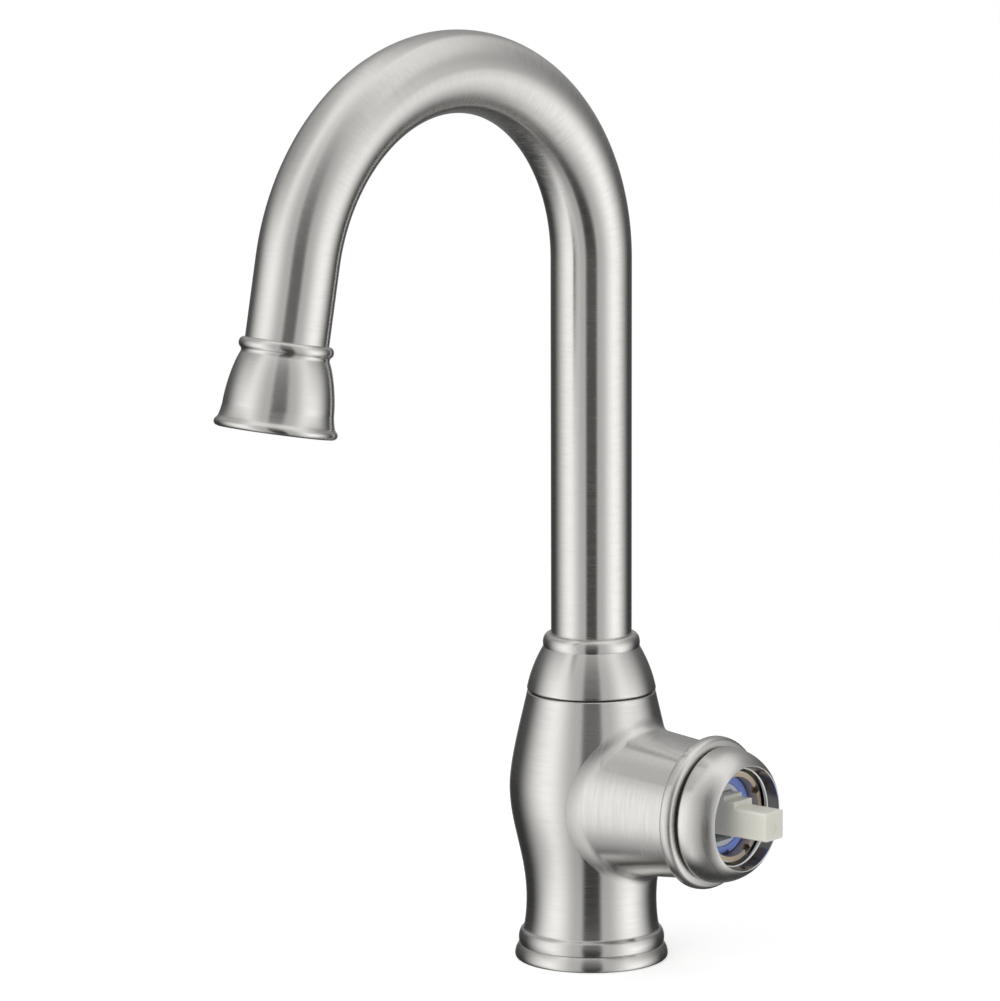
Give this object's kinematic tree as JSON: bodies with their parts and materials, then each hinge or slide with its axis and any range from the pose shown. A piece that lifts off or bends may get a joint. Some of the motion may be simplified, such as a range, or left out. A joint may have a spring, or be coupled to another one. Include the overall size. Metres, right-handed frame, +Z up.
{
  "type": "bar faucet",
  "caption": "Bar faucet with a vase-shaped body, swivelling gooseneck spout, bell outlet and side valve with a bare square stem.",
  "frame": {"origin": "centre of the body's underside, on the deck and on the axis of the spout's swivel", "axes": "+Z up, +X along the side valve towards its stem, the spout at rest reaches towards -Y, 5.3 degrees towards -X"},
  "size_m": [0.1142, 0.1981, 0.3304],
  "materials": {
    "brushed_nickel": "brushed nickel plate",
    "plated_ring": "polished plate",
    "brass": "turned",
    "steel": "bright",
    "black_rubber": "matt",
    "white_ceramic": "lapped",
    "dark_plastic": "moulded",
    "pale_plastic": "moulded",
    "stem_plastic": "moulded, slightly translucent",
    "blue_plastic": "moulded",
    "grey_plastic": "moulded"
  },
  "bodies": {
    "faucet_body": {"body": "brushed_nickel", "deck_gasket": "black_rubber", "glide_ring": "dark_plastic", "retaining_ring": "steel", "valve_cap": "brushed_nickel", "cap_seal": "black_rubber", "cartridge_nut": "brass", "cartridge_shell": "pale_plastic", "limit_ring": "blue_plastic", "fixed_disc": "white_ceramic", "disc_seal": "black_rubber", "base_plate": "pale_plastic", "port_seals": "black_rubber"},
    "spout": {"spout_tail": "brass", "spout_collar": "brushed_nickel", "spout_tube": "brushed_nickel", "outlet_bell": "brushed_nickel", "aerator_housing": "plated_ring", "aerator_insert": "grey_plastic", "aerator_screen": "steel", "aerator_washer": "black_rubber", "upper_swivel_seal": "black_rubber", "lower_swivel_seal": "black_rubber"},
    "mixer": {"rotor": "pale_plastic", "lever_pin": "steel"},
    "lever": {"lever_stem": "stem_plastic"},
    "disc_slider": {"disc_carrier": "pale_plastic", "moving_disc": "white_ceramic"}
  },
  "joints": [
    {"name": "spout_swivel", "type": "hinge", "parent": "faucet_body", "child": "spout", "pos_m": [0, 0, 0.0948], "axis": [0, 0, 1], "continuous": true},
    {"name": "mixer_turn", "type": "hinge", "parent": "faucet_body", "child": "mixer", "pos_m": [0.052, 0, 0.0585], "axis": [1, 0, 0], "range_deg": [-50, 50]},
    {"name": "lever_tilt", "type": "hinge", "parent": "mixer", "child": "lever", "pos_m": [0.052, 0, 0.0585], "axis": [0, 1, 0], "range_deg": [0, 25]},
    {"name": "disc_slide", "type": "slide", "parent": "mixer", "child": "disc_slider", "axis": [0, 0, 1], "range_m": [0, 0.0053]}
  ],
  "couplings": [
    {"joint": "disc_slide", "follows": "lever_tilt", "m_per_rad": 0.011905}
  ]
}
